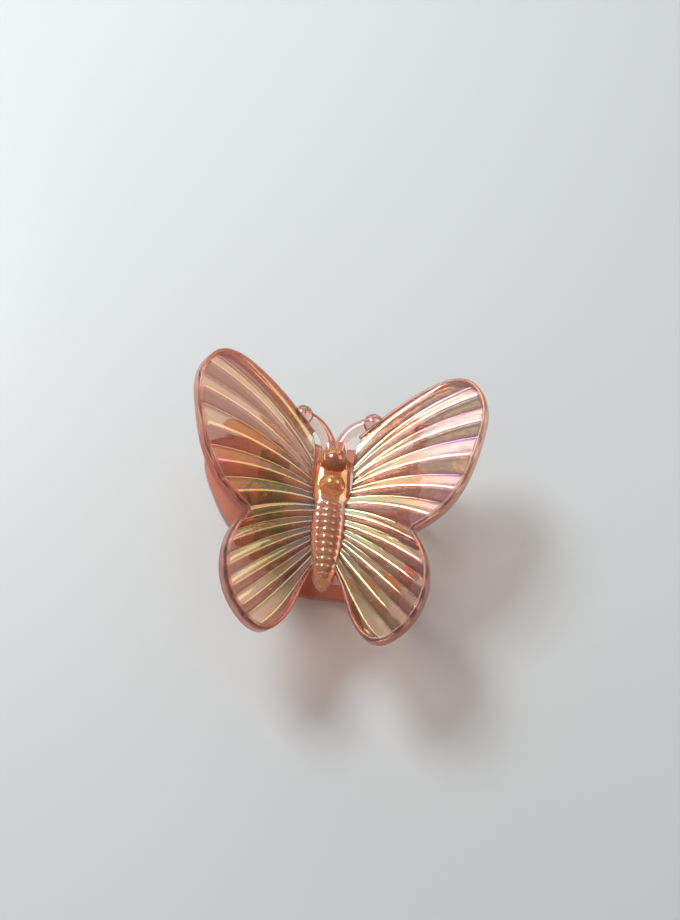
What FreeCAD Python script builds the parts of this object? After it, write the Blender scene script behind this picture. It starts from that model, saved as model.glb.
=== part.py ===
import FreeCAD, Part

import math
import os

# A butterfly hair clip: a ribbed, translucent moulded butterfly is the upper jaw, and a comb jaw
# with a thumb tab is hinged beneath its left wing on a steel pin, closed by a double torsion spring.
# Millimetres. +X is the butterfly's right wing, +Y its head, +Z up. The clip stands at z = 0 on the
# underside of the comb jaw, and the origin is the middle of the bounding box's base.

DRIVING_DIMENSIONS = {
    # wings
    "wing_half_span": 18.6,     # outward from the body axis, along the wing
    "wing_length": 32.7,        # from the forewing's tip to the hindwing's lowest point
    "dihedral_deg": 20.5,
    "root_height": 9.5,         # the wings' lower rim, carried on to the body axis
    "wall_depth": 1.9,
    "skin": 0.8,
    "rib_height": 0.35,
    "rib_root_width": 0.35,
    "rib_tip_width": 1.5,
    # body and antennae
    "abdomen_radius": 2.15,
    "thorax_radius": 1.9,
    "head_radius": 1.85,
    "body_lift": 2.1,           # the body's axis above the wing root height
    "antenna_radius": 0.75,
    "antenna_ball_radius": 1.15,
    "antenna_bend_radius": 4.3,
    # hinge
    "hinge_x": -7.0,
    "hinge_y": -0.2,
    "hinge_z": 9.6,
    "pin_radius": 0.5,
    "pin_length": 12.0,
    "pin_chamfer": 0.15,
    "bore_clearance": 0.05,
    "boss_radius": 1.8,
    "lug_thickness": 1.1,
    "ear_thickness": 1.0,
    "lug_gap": 0.2,
    "ear_inner_half_gap": 3.3,
    # comb jaw
    "jaw_thickness": 1.6,
    "tine_pitch": 6.0,
    "tine_width": 1.8,
    "comb_centre_y": 1.7,
    "hub_end_x": 1.5,
    "tip_gap": 0.9,
    # spring
    "wire_radius": 0.23,
    "coil_radius": 1.45,
    "coil_pitch": 0.6,
    "coil_turns": 4.5,
    "coil_gap": 0.7,
    "spring_leg": 4.9,
}

# How far each tine reaches under the right wing, from the tail end: less beside the wing's notch.
TINE_X = (9.9, 8.8, 9.9, 9.9)
ABDOMEN_RINGS = 11
HEAD_Y = 5.8
STEM_START = (1.15, 6.6)        # where an antenna leaves the head
STEM_SWEEP = 85                 # degrees of the stem's bend
STEM_HEIGHT = 1.1               # above the wing's lower rim

# Each wing's fans of ribs: how many, where they start (x, and y of the first and last) and the
# directions of the first and last, in degrees from straight outward.
RIB_FANS = (
    {"count": 6, "root_x": 2.4, "roots": (4.7, -0.3), "angles": (40, -7)},
    {"count": 6, "root_x": 2.2, "roots": (-1.5, -6.6), "angles": (-16, -66)},
)

# Seen from above: the thumb tab's rounded edge, from the neck at the head's side round to the tail's.
TAB_NECK_X = -8.2
TAB_OUTLINE = [
    (TAB_NECK_X, 9.8), (-11.6, 10.0), (-14.6, 8.4), (-15.4, 5.4), (-13.9, 1.2),
    (-11.7, -2.3), (TAB_NECK_X, -4.9),
]
HUB_SHOULDER_X = -2.5

# The spring's pointed middle loop, from its tip on the wing to the shoulders beside it, and its slopes
LOOP_TIP_X, LOOP_SHOULDER_X = -10.3, -9.5
LOOP_HALF_WIDTH, LOOP_DROP = 1.1, 0.75
LOOP_GAP = 0.1                  # between the loop's tip and the wing's skin
LOOP_SLOPE, LEG_SLOPE = 43, 8.5
WIRE_INSET = 0.3                # the wire's ends start this far inside the coil

# Wing outline as fractions of the half span (outward) and the length (towards the head). The
# forewing and the hindwing are two smooth curves that meet in a sharp notch.
FOREWING_OUTLINE = [
    (0.048, 0.202), (0.285, 0.322), (0.618, 0.462), (0.892, 0.495), (1.0, 0.422),
    (0.995, 0.275), (0.914, 0.119), (0.769, -0.009), (0.591, -0.083),
]
HINDWING_OUTLINE = [
    (0.591, -0.083), (0.688, -0.183), (0.699, -0.312), (0.591, -0.440),
    (0.387, -0.501), (0.253, -0.434), (0.172, -0.324), (0.048, -0.190),
]


def new_sheet(doc):
    sheet = doc.addObject("Spreadsheet::Sheet", "Dimensions")
    for row, (name, value) in enumerate(DRIVING_DIMENSIONS.items(), start=1):
        sheet.set("A%d" % row, name)
        sheet.set("B%d" % row, str(value))
        sheet.setAlias("B%d" % row, name)
    doc.recompute()
    return sheet


def vec(x, y, z=0.0):
    return FreeCAD.Vector(x, y, z)


def origin_plane(body, role):
    for feature in body.Origin.OriginFeatures:
        if feature.Role == role:
            return feature
    raise ValueError(role)


def new_body(doc, name):
    body = doc.addObject("PartDesign::Body", name)
    body.Label = name
    return body


def sketch_on(body, role, name, geometry):
    sketch = body.newObject("Sketcher::SketchObject", name)
    sketch.AttachmentSupport = [(origin_plane(body, role), "")]
    sketch.MapMode = "FlatFace"
    sketch.addGeometry(geometry, False)
    return sketch


def pad(body, sketch, name, length, midplane=False, back=False):
    feature = body.newObject("PartDesign::Pad", name)
    feature.Profile = sketch
    feature.SideType = "Symmetric" if midplane else "One side"
    feature.Reversed = back
    feature.setExpression("Length", length)
    return feature


def closed_lines(points):
    ends = points[1:] + points[:1]
    return [Part.LineSegment(vec(*a), vec(*b)) for a, b in zip(points, ends)]


def spline(points):
    curve = Part.BSplineCurve()
    curve.interpolate([vec(*p) for p in points])
    return curve


def sloped(side, dims):
    """Placement of a wing's own frame: its x runs outward from the body axis and rises."""
    tilt = FreeCAD.Rotation(vec(0, 1), -side * dims("dihedral_deg"))
    return FreeCAD.Placement(vec(0, 0, dims("root_height")), tilt)


def skin_underside(x, dims):
    """Height of the inside of the wing's skin, x millimetres from the body axis."""
    slope = math.radians(dims("dihedral_deg"))
    hollow = dims("wall_depth") - dims("skin")
    return dims("root_height") + abs(x) * math.tan(slope) + hollow / math.cos(slope)


def wing_outline(side, dims):
    def scaled(points):
        return [(side * u * dims("wing_half_span"), v * dims("wing_length")) for u, v in points]

    forewing = scaled(FOREWING_OUTLINE)
    hindwing = scaled(HINDWING_OUTLINE)
    root = Part.LineSegment(vec(*hindwing[-1]), vec(*forewing[0]))
    return [spline(forewing), spline(hindwing), root]


def rib_strip(face, start, angle, dims):
    """A strip from the wing's root to just inside its rim, wider towards the rim."""
    along = vec(math.cos(angle), math.sin(angle))
    ray = Part.makeLine(start, start + along * 2 * dims("wing_length"))
    length = ray.common(face).Length - 2 * dims("skin")
    across = vec(-math.sin(angle), math.cos(angle))
    root_half = across * (dims("rib_root_width") / 2)
    tip_half = across * (dims("rib_tip_width") / 2)
    tip = start + along * length
    return closed_lines([tuple(p) for p in (start + root_half, start - root_half,
                                            tip - tip_half, tip + tip_half)])


def rib_fan(side, face, dims, count, root_x, roots, angles):
    """Ribs that start along the body and spread like a fan. roots and angles: first and last."""
    lines = []
    for i in range(count):
        t = i / (count - 1)
        y = roots[0] + (roots[1] - roots[0]) * t
        angle = math.radians(angles[0] + (angles[1] - angles[0]) * t)
        if side < 0:
            angle = math.pi - angle
        lines += rib_strip(face, vec(side * root_x, y), angle, dims)
    return lines


def wing_blank(doc, name, side, dims):
    """A ribbed shell with a wall all round its edge and an open underside."""
    body = new_body(doc, name)
    outline = wing_outline(side, dims)
    plan = sketch_on(body, "XY_Plane", name + "_outline", outline)
    solid = pad(body, plan, name + "_solid", "Dimensions.wall_depth")
    doc.recompute()
    base = min(range(len(solid.Shape.Faces)), key=lambda i: solid.Shape.Faces[i].CenterOfMass.z)
    shell = body.newObject("PartDesign::Thickness", name + "_shell")
    shell.Base = (solid, ["Face%d" % (base + 1)])
    shell.setExpression("Value", "Dimensions.skin")
    shell.Reversed = True
    shell.Join = "Intersection"
    doc.recompute()
    if not shell.Shape.Volume < 0.8 * solid.Shape.Volume:
        raise RuntimeError(name + " is not hollow")
    face = Part.Face(Part.Wire([curve.toShape() for curve in outline]))
    ribs = [line for fan in RIB_FANS for line in rib_fan(side, face, dims=dims, **fan)]
    fan = sketch_on(body, "XY_Plane", name + "_rib_plan", ribs)
    fan.setExpression("AttachmentOffset.Base.z", "Dimensions.wall_depth - Dimensions.skin / 2")
    pad(body, fan, name + "_ribs", "Dimensions.rib_height + Dimensions.skin / 2")
    body.Placement = sloped(side, dims)
    return body


def body_profile(dims):
    """Half outline of head, thorax and ringed abdomen, turned about the body axis."""
    thorax_y, waist_y, tail_y = 2.4, 0.6, -9.7
    head, thorax = dims("head_radius"), dims("thorax_radius")
    neck_y = 4.15
    neck = math.sqrt(head ** 2 - (HEAD_Y - neck_y) ** 2)
    tail_radius, bulge = 0.8, 0.13

    def station(i):
        s = i / ABDOMEN_RINGS
        y = tail_y + (waist_y - tail_y) * (0.72 * s + 0.28 * s * s)
        swell = math.sin(math.pi / 2 * min(1.0, 1.3 * s))
        return tail_radius + (dims("abdomen_radius") - bulge - tail_radius) * swell, y

    curves = []
    stations = [station(i) for i in range(ABDOMEN_RINGS + 1)]
    curves.append(Part.Arc(vec(0, tail_y - 0.8), vec(0.55, tail_y - 0.5), vec(*stations[0])))
    for low, high in zip(stations, stations[1:]):
        middle = ((low[0] + high[0]) / 2 + bulge, (low[1] + high[1]) / 2)
        curves.append(Part.Arc(vec(*low), vec(*middle), vec(*high)))
    curves.append(Part.Arc(vec(*stations[-1]), vec(thorax, thorax_y), vec(neck, neck_y)))
    curves.append(Part.Arc(vec(neck, neck_y), vec(head, HEAD_Y), vec(0, HEAD_Y + head)))
    curves.append(Part.LineSegment(vec(0, HEAD_Y + head), vec(0, tail_y - 0.8)))
    return curves


def butterfly_body(doc, dims):
    body = new_body(doc, "butterfly_body")
    profile = sketch_on(body, "XY_Plane", "body_profile", body_profile(dims))
    turned = body.newObject("PartDesign::Revolution", "body_turned")
    turned.Profile = profile
    turned.ReferenceAxis = (profile, ["V_Axis"])
    turned.Angle = 360
    body.Placement.Base = vec(0, 0, dims("root_height") + dims("body_lift"))
    return body


def antenna_blank(doc, dims):
    """The right antenna: a stem bent through almost a quarter circle, with a ball on its end."""
    bend = dims("antenna_bend_radius")
    centre = vec(STEM_START[0] + bend, STEM_START[1], STEM_HEIGHT)
    first = 180 - STEM_SWEEP
    ball_angle = math.radians(first)
    stem = doc.addObject("Part::Torus", "antenna_stem")
    stem.setExpression("Radius1", "Dimensions.antenna_bend_radius")
    stem.setExpression("Radius2", "Dimensions.antenna_radius")
    stem.Angle3 = STEM_SWEEP
    local = FreeCAD.Placement(centre, FreeCAD.Rotation(vec(0, 0, 1), first))
    stem.Placement = sloped(1, dims) * local
    ball = doc.addObject("Part::Sphere", "antenna_ball")
    ball.setExpression("Radius", "Dimensions.antenna_ball_radius")
    ball_centre = centre + vec(math.cos(ball_angle), math.sin(ball_angle)) * bend
    ball.Placement = sloped(1, dims) * FreeCAD.Placement(ball_centre, FreeCAD.Rotation())
    whole = doc.addObject("Part::Fuse", "antenna_blank")
    whole.Base = stem
    whole.Tool = ball
    return whole


def mirror_image(doc, name, source):
    """The same piece on the other side of the butterfly's middle plane."""
    image = doc.addObject("Part::Mirroring", name)
    image.Source = source
    image.Normal = vec(1, 0, 0)
    return image


def head_ball(doc, dims):
    """The head's ball alone, which trims the antennae's stems to the head."""
    ball = doc.addObject("Part::Sphere", "head_ball")
    ball.setExpression("Radius", "Dimensions.head_radius")
    ball.Placement.Base = vec(0, HEAD_Y, dims("root_height") + dims("body_lift"))
    return ball


def cut(doc, name, base, tool):
    result = doc.addObject("Part::Cut", name)
    result.Base = base
    result.Tool = tool
    result.Label = name
    return result


def hinge_lug(doc, name, toward_head, dims):
    """A rounded lug under the left wing that holds one end of the pin."""
    body = new_body(doc, name)
    x, z, r = dims("hinge_x"), dims("hinge_z"), dims("boss_radius")
    left, right = x - r, x + r
    corners = [vec(right, z), vec(right, skin_underside(right, dims)),
               vec(left, skin_underside(left, dims)), vec(left, z)]
    geometry = [Part.LineSegment(a, b) for a, b in zip(corners, corners[1:])]
    geometry.append(Part.Arc(corners[-1], vec(x, z - r), corners[0]))
    geometry.append(Part.Circle(vec(x, z), vec(0, 0, 1), dims("pin_radius")))
    profile = sketch_on(body, "XZ_Plane", name + "_profile", geometry)
    pad(body, profile, name + "_solid", "Dimensions.lug_thickness", midplane=True)
    inner = dims("ear_inner_half_gap") + dims("ear_thickness") + dims("lug_gap")
    body.Placement.Base = vec(0, dims("hinge_y") + toward_head * (inner + dims("lug_thickness") / 2))
    return body


def hinge_pin(doc, dims):
    body = new_body(doc, "hinge_pin")
    circle = Part.Circle(vec(dims("hinge_x"), dims("hinge_z")), vec(0, 0, 1), dims("pin_radius"))
    profile = sketch_on(body, "XZ_Plane", "pin_circle", [circle])
    shaft = pad(body, profile, "pin_shaft", "Dimensions.pin_length", midplane=True)
    doc.recompute()
    ends = [i for i, e in enumerate(shaft.Shape.Edges, 1) if e.Curve.TypeId == "Part::GeomCircle"]
    rounded = body.newObject("PartDesign::Chamfer", "pin_ends")
    rounded.Base = (shaft, ["Edge%d" % i for i in ends])
    rounded.setExpression("Size", "Dimensions.pin_chamfer")
    body.Placement.Base = vec(0, dims("hinge_y"))
    return body


def jaw_section(dims):
    """Side view of the comb jaw's hub: a band that runs from the thumb tab down to the tines."""
    half = dims("jaw_thickness") / 2
    tab_slope, back_slope = 11.5, 60
    knee, heel = 2.0, 4.0
    clear = dims("boss_radius") + 0.3 + half
    tab_end_x = -16.0
    hinge_x, hinge_z = dims("hinge_x"), dims("hinge_z")
    slope, steep = math.radians(tab_slope), math.radians(back_slope)
    start_z = hinge_z - clear / math.cos(slope) + (hinge_x - tab_end_x) * math.tan(slope)
    tab_run = (hinge_x + 0.7 - tab_end_x) / math.cos(slope)
    knee_drop = knee * (math.cos(slope) - math.cos(steep))
    heel_drop = heel * (1 - math.cos(steep))
    fall = start_z - tab_run * math.sin(slope) - knee_drop - heel_drop - half
    back_run = fall / math.sin(steep)
    knee_x = tab_end_x + tab_run * math.cos(slope) + knee * (math.sin(steep) - math.sin(slope))
    floor_x = knee_x + back_run * math.cos(steep) + heel * math.sin(steep)
    path = [("run", tab_run), ("bend", knee, tab_slope - back_slope), ("run", back_run),
            ("bend", heel, back_slope), ("run", dims("hub_end_x") - floor_x)]
    return band((tab_end_x, start_z), -tab_slope, path, half)


def tine_section(x, dims):
    """Side view of one tine: along the floor and up to just under the wing's skin."""
    half, toe, overlap = dims("jaw_thickness") / 2, 3.5, 0.8
    start_x = dims("hub_end_x") - overlap
    top = skin_underside(x - half, dims) - dims("tip_gap")
    path = [("run", x - toe - start_x), ("bend", toe, 90), ("run", top - half - toe)]
    return band((start_x, half), 0, path, half)


def band(start, heading, path, half):
    """Closed outline of a strip of the given half width along a path of runs and bends."""
    x, z = start
    left, right = [], []

    def sides(x, z, heading):
        normal = vec(-math.sin(heading), math.cos(heading)) * half
        return vec(x, z) + normal, vec(x, z) - normal

    heading = math.radians(heading)
    for step in path:
        a_left, a_right = sides(x, z, heading)
        if step[0] == "run":
            x += step[1] * math.cos(heading)
            z += step[1] * math.sin(heading)
            b_left, b_right = sides(x, z, heading)
            left.append(Part.LineSegment(a_left, b_left))
            right.append(Part.LineSegment(a_right, b_right))
            continue
        radius, turn = step[1], math.radians(step[2])
        toward = math.copysign(1, turn)
        centre = vec(x - toward * radius * math.sin(heading), z + toward * radius * math.cos(heading))
        points = []
        for part in (0.5, 1):
            h = heading + turn * part
            x = centre.x + toward * radius * math.sin(h)
            z = centre.y - toward * radius * math.cos(h)
            points.append(sides(x, z, h))
        heading += turn
        left.append(Part.Arc(a_left, points[0][0], points[1][0]))
        right.append(Part.Arc(a_right, points[0][1], points[1][1]))
        b_left, b_right = points[1]
    first_left, first_right = left[0].StartPoint, right[0].StartPoint
    ends = [Part.LineSegment(b_left, b_right), Part.LineSegment(first_right, first_left)]
    return left + right + ends


def tine_rows(dims):
    middle = (len(TINE_X) - 1) / 2
    return [dims("comb_centre_y") + dims("tine_pitch") * (i - middle) for i in range(len(TINE_X))]


def jaw_planform(dims):
    """Top view of the hub: a rounded thumb tab on the left, widening to carry the tines."""
    half = dims("tine_width") / 2
    low, high = tine_rows(dims)[0] - half, tine_rows(dims)[-1] + half
    beyond_x = dims("hub_end_x") + 1
    hub = [TAB_OUTLINE[-1], (HUB_SHOULDER_X, low), (beyond_x, low), (beyond_x, high),
           (HUB_SHOULDER_X, high), TAB_OUTLINE[0]]
    edges = [Part.LineSegment(vec(*a), vec(*b)) for a, b in zip(hub, hub[1:])]
    return [spline(TAB_OUTLINE)] + edges


def jaw_ear(doc, name, toward_head, dims):
    """A rounded ear of the comb jaw, with the running bore for the pin."""
    body = new_body(doc, name)
    x, z, r = dims("hinge_x"), dims("hinge_z"), dims("boss_radius")
    foot, foot_slope = z - r - 0.9, 0.5
    corners = [vec(x - r, z), vec(x - r, foot), vec(x + r, foot - foot_slope), vec(x + r, z)]
    geometry = [Part.LineSegment(a, b) for a, b in zip(corners, corners[1:])]
    geometry.append(Part.Arc(corners[-1], vec(x, z + r), corners[0]))
    bore = dims("pin_radius") + dims("bore_clearance")
    geometry.append(Part.Circle(vec(x, z), vec(0, 0, 1), bore))
    profile = sketch_on(body, "XZ_Plane", name + "_profile", geometry)
    pad(body, profile, name + "_solid", "Dimensions.ear_thickness", midplane=True)
    reach = dims("ear_inner_half_gap") + dims("ear_thickness") / 2
    body.Placement.Base = vec(0, dims("hinge_y") + toward_head * reach)
    return body


def lower_jaw(doc, dims):
    side_view = new_body(doc, "jaw_side_view")
    section = sketch_on(side_view, "XZ_Plane", "jaw_section", jaw_section(dims))
    pad(side_view, section, "jaw_section_solid", "10 * Dimensions.tine_pitch", midplane=True)
    top_view = new_body(doc, "jaw_top_view")
    plan = sketch_on(top_view, "XY_Plane", "jaw_planform", jaw_planform(dims))
    pad(top_view, plan, "jaw_planform_solid", "2 * Dimensions.hinge_z")
    comb = doc.addObject("Part::Common", "jaw_hub")
    comb.Base = side_view
    comb.Tool = top_view
    ears = [jaw_ear(doc, "jaw_ear_front", 1, dims), jaw_ear(doc, "jaw_ear_rear", -1, dims)]
    tines = []
    for i, (x, y) in enumerate(zip(TINE_X, tine_rows(dims)), start=1):
        tine = new_body(doc, "jaw_tine_%d" % i)
        section = sketch_on(tine, "XZ_Plane", "tine_section_%d" % i, tine_section(x, dims))
        pad(tine, section, "tine_solid_%d" % i, "Dimensions.tine_width", midplane=True)
        tine.Placement.Base = vec(0, y)
        tines.append(tine)
    jaw = doc.addObject("Part::MultiFuse", "lower_jaw")
    jaw.Label = "lower_jaw"
    jaw.Shapes = [comb] + ears + tines
    return jaw


def rod(start, end, radius):
    """A straight length of wire with rounded ends, so that neighbouring lengths join at any angle."""
    shaft = Part.makeCylinder(radius, (end - start).Length, start, end - start)
    return shaft.fuse([Part.makeSphere(1.1 * radius, point) for point in (start, end)])


def half_spring(dims):
    """One coil, as a sleeve of its outer and inner size, and its two legs, towards the head."""
    wire, radius = dims("wire_radius"), dims("coil_radius")
    x, z, middle_y = dims("hinge_x"), dims("hinge_z"), dims("hinge_y")
    inner_y = middle_y + dims("coil_gap") / 2
    length = dims("coil_turns") * dims("coil_pitch")
    clearance = 0.03
    wall = wire + clearance
    outside = Part.makeCylinder(radius + wall, length, vec(x, inner_y, z), vec(0, 1))
    inside = Part.makeCylinder(radius - wall, length, vec(x, inner_y, z), vec(0, 1))
    loop_slope, leg_slope = math.radians(LOOP_SLOPE), math.radians(LEG_SLOPE)
    loop_start = vec(x + radius * math.sin(loop_slope), inner_y + WIRE_INSET,
                     z + radius * math.cos(loop_slope))
    apex = vec(LOOP_TIP_X, middle_y, skin_underside(LOOP_TIP_X, dims) - wire - LOOP_GAP)
    shoulder = vec(LOOP_SHOULDER_X, middle_y + LOOP_HALF_WIDTH, apex.z - LOOP_DROP)
    leg_start = vec(x - radius * math.sin(leg_slope), inner_y + length - WIRE_INSET,
                    z - radius * math.cos(leg_slope))
    tip = leg_start + vec(-math.cos(leg_slope), 0, math.sin(leg_slope)) * dims("spring_leg")
    legs = [rod(loop_start, shoulder, wire), rod(shoulder, apex, wire), rod(leg_start, tip, wire)]
    return outside.cut(inside).fuse(legs)


def torsion_spring(doc, dims):
    """Two coils on the pin joined by a pointed loop that bears on the wing, with a leg at each end."""
    half = half_spring(dims)
    mirrored = half.mirror(vec(0, dims("hinge_y")), vec(0, 1))
    spring = doc.addObject("Part::Feature", "torsion_spring")
    spring.Label = "torsion_spring"
    spring.Shape = half.fuse(mirrored)
    return spring


def check(doc, pieces):
    for item in doc.Objects:
        if "Invalid" in item.State or "Error" in item.State:
            raise RuntimeError("%s failed: %s" % (item.Name, item.State))
    for piece in pieces:
        shape = piece.Shape
        if shape.isNull() or not shape.isValid() or not shape.Solids:
            raise RuntimeError("%s has no valid solid" % piece.Label)


def main():
    doc = FreeCAD.newDocument("butterfly_hair_clip")
    sheet = new_sheet(doc)

    def dims(name):
        return float(sheet.get(name))

    trunk = butterfly_body(doc, dims)
    head = head_ball(doc, dims)
    pieces = [trunk]
    right_antenna = cut(doc, "right_antenna", antenna_blank(doc, dims), head)
    left_antenna = mirror_image(doc, "left_antenna", right_antenna)
    for word, side, antenna in (("left", -1, left_antenna), ("right", 1, right_antenna)):
        blank = wing_blank(doc, word + "_wing_blank", side, dims)
        beside_body = cut(doc, word + "_wing_beside_body", blank, trunk)
        pieces += [antenna, cut(doc, word + "_wing", beside_body, antenna)]
    pieces += [hinge_lug(doc, "front_hinge_lug", 1, dims), hinge_lug(doc, "rear_hinge_lug", -1, dims)]
    pieces += [hinge_pin(doc, dims), torsion_spring(doc, dims), lower_jaw(doc, dims)]
    doc.recompute()
    check(doc, pieces)
    os.makedirs("parts", exist_ok=True)
    for piece in pieces:
        piece.Shape.exportStep(os.path.join("parts", piece.Label + ".step"))
        box = piece.Shape.BoundBox
        print("%-18s %d solid(s) %8.2f mm3  x %.2f..%.2f y %.2f..%.2f z %.2f..%.2f" % (
            piece.Label, len(piece.Shape.Solids), piece.Shape.Volume,
            box.XMin, box.XMax, box.YMin, box.YMax, box.ZMin, box.ZMax))


main()
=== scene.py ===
import math

import bmesh
import bpy
import numpy as np
from mathutils import Matrix, Vector

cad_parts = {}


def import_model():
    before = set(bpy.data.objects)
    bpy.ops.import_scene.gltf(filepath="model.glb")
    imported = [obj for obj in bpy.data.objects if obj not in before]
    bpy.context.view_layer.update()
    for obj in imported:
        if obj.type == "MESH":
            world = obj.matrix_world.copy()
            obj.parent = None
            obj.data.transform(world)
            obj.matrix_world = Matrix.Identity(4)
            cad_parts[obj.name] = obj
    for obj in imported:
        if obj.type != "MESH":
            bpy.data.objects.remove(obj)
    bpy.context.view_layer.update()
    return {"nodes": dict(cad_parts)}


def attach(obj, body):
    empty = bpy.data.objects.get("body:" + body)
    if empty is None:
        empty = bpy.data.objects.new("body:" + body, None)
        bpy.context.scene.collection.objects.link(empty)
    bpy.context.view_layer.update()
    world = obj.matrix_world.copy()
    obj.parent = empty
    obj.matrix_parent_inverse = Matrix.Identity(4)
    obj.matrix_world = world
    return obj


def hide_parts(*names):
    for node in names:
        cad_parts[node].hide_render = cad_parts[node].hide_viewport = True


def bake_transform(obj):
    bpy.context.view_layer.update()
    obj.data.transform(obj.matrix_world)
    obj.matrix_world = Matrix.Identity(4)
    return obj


# A butterfly hair clip in iridescent peach plastic. The butterfly moulding is the upper jaw: two
# pleated wings, a ringed body and two antennae. The comb jaw with its thumb tab is hinged under the
# left wing. Lengths below are in millimetres in the frame's own axes, unless they say metres; +X is
# the butterfly's right wing, +Y its head, +Z up. Meshes are turned into metres where they are made.

MM = 0.001

# wings, in the wing's own plane: out = away from the body axis, along = towards the head
HALF_SPAN, LENGTH = 18.6, 32.7
DIHEDRAL = math.radians(20.5)
ROOT_Z = 9.5
WALL_DEPTH = 1.9
SKIN_UNDERSIDE = 1.1
RIM_WIDTH = 0.52
# the outlines, as shares of HALF_SPAN and LENGTH
FOREWING_OUTLINE = [
    (0.048, 0.202), (0.285, 0.322), (0.618, 0.462), (0.892, 0.495), (1.0, 0.422),
    (0.995, 0.275), (0.914, 0.119), (0.769, -0.009), (0.591, -0.083),
]
HINDWING_OUTLINE = [
    (0.591, -0.083), (0.688, -0.183), (0.699, -0.312), (0.591, -0.440),
    (0.387, -0.501), (0.253, -0.434), (0.172, -0.324), (0.048, -0.190),
]
# Valleys between the pleats: where each leaves the body, and how far round the outline it ends, as a
# share of the forewing's or the hindwing's own outline.
LEADING_FOOT, LEADING_START = 0.085, 0.30   # the leading edge: beside the body, and at the wing tip
LEADING_ROOT = (2.6, 5.6)
FOREWING_ENDS = [0.475, 0.56, 0.655, 0.78, 0.885, 1.0]
HINDWING_ENDS = [0.10, 0.215, 0.31, 0.395, 0.485, 0.62]
INNER_EDGE_END = 0.985
FOREWING_ROOTS = [(3.2, 4.7), (3.3, 3.9), (3.3, 3.1), (3.25, 2.2), (3.0, 1.1), (2.6, -0.3)]
HINDWING_ROOTS = [(2.75, -1.7), (2.8, -2.9), (2.75, -4.0), (2.6, -5.1), (2.3, -6.2), (1.9, -7.2)]

# the body's axis, its head and thorax balls, and its tail
BODY_Z = 11.6
HEAD_Y, HEAD_R = 5.55, 1.62
THORAX_Y, THORAX_R = 2.4, 1.42
TAIL_Y = -10.6


def world(side, out, along, height):
    """Points of a wing's own plane, as millimetres in the frame's axes. side: -1 left, 1 right."""
    out, along, height = (np.asarray(v, float) for v in (out, along, height))
    x = side * (out * math.cos(DIHEDRAL) - height * math.sin(DIHEDRAL))
    z = ROOT_Z + out * math.sin(DIHEDRAL) + height * math.cos(DIHEDRAL)
    return np.stack(np.broadcast_arrays(x, along, z), axis=-1)


def natural_spline(points, per_span=24):
    """A smooth curve through the points, as a dense polyline."""
    p = np.array(points, float)
    gaps = np.maximum(np.linalg.norm(np.diff(p, axis=0), axis=1), 1e-9)
    n = len(p)
    a = np.zeros((n, n))
    b = np.zeros((n, p.shape[1]))
    a[0, 0] = a[-1, -1] = 1
    for i in range(1, n - 1):
        a[i, i - 1], a[i, i], a[i, i + 1] = gaps[i - 1], 2 * (gaps[i - 1] + gaps[i]), gaps[i]
        b[i] = 6 * ((p[i + 1] - p[i]) / gaps[i] - (p[i] - p[i - 1]) / gaps[i - 1])
    m = np.linalg.solve(a, b)
    out = []
    for i in range(n - 1):
        h = gaps[i]
        for t in np.linspace(0, 1, per_span, endpoint=False):
            s = 1 - t
            out.append(s * p[i] + t * p[i + 1]
                       + h * h / 6 * ((s ** 3 - s) * m[i] + (t ** 3 - t) * m[i + 1]))
    out.append(p[-1])
    return np.array(out)


class Track:
    """A polyline that is read by the share of its length."""

    def __init__(self, points):
        self.p = np.asarray(points, float)
        gaps = np.linalg.norm(np.diff(self.p, axis=0), axis=1)
        self.s = np.concatenate([[0], np.cumsum(gaps)])
        self.s /= self.s[-1]

    def at(self, share):
        share = np.asarray(share, float)
        return np.stack([np.interp(share, self.s, self.p[:, k])
                         for k in range(self.p.shape[1])], axis=-1)


def make_mesh(name, verts, faces, smooth=True, values=None):
    """A mesh from points in millimetres. values: named numbers, one for each point."""
    mesh = bpy.data.meshes.new(name)
    mesh.from_pydata([tuple(v) for v in (np.asarray(verts, float) * MM)], [], [tuple(f) for f in faces])
    mesh.validate()
    work = bmesh.new()
    work.from_mesh(mesh)
    work.verts.ensure_lookup_table()
    for key, numbers in (values or {}).items():
        layer = work.verts.layers.float.new(key)
        for vert, number in zip(work.verts, numbers):
            vert[layer] = float(number)
    bmesh.ops.remove_doubles(work, verts=work.verts, dist=1e-7)
    bmesh.ops.dissolve_degenerate(work, edges=work.edges, dist=1e-8)
    bmesh.ops.recalc_face_normals(work, faces=work.faces)
    if smooth and work.calc_volume(signed=True) < 0:
        bmesh.ops.reverse_faces(work, faces=work.faces)
    work.to_mesh(mesh)
    work.free()
    obj = bpy.data.objects.new(name, mesh)
    bpy.context.scene.collection.objects.link(obj)
    if smooth:
        mesh.polygons.foreach_set("use_smooth", [True] * len(mesh.polygons))
    return obj


def quads(rows, cols, start=0, close_cols=False, flip=False):
    """Faces of a grid of rows by cols points numbered row by row."""
    faces = []
    for i in range(rows - 1):
        for j in range(cols - (0 if close_cols else 1)):
            a = start + i * cols + j
            b = start + i * cols + (j + 1) % cols
            faces.append((a, a + cols, b + cols, b) if flip else (a, b, b + cols, a + cols))
    return faces


def ease(x):
    """A smooth step from 0 to 1."""
    x = np.clip(x, 0, 1)
    return x * x * (3 - 2 * x)


def pleat(phase, crest=0.10, valley=0.035):
    """Height of a pleat, 0 in the valley at whole phases and 1 at the crest between them."""
    f = np.abs(((phase + 0.5) % 1.0) - 0.5) * 2          # 0 at the valley, 1 at the crest
    low = np.sqrt(f * f + valley * valley) - valley
    top = 1 - (np.sqrt((1 - f) ** 2 + crest * crest) - crest)
    return np.where(f < 0.5, low, top)


# ---------------------------------------------------------------- wings

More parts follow.
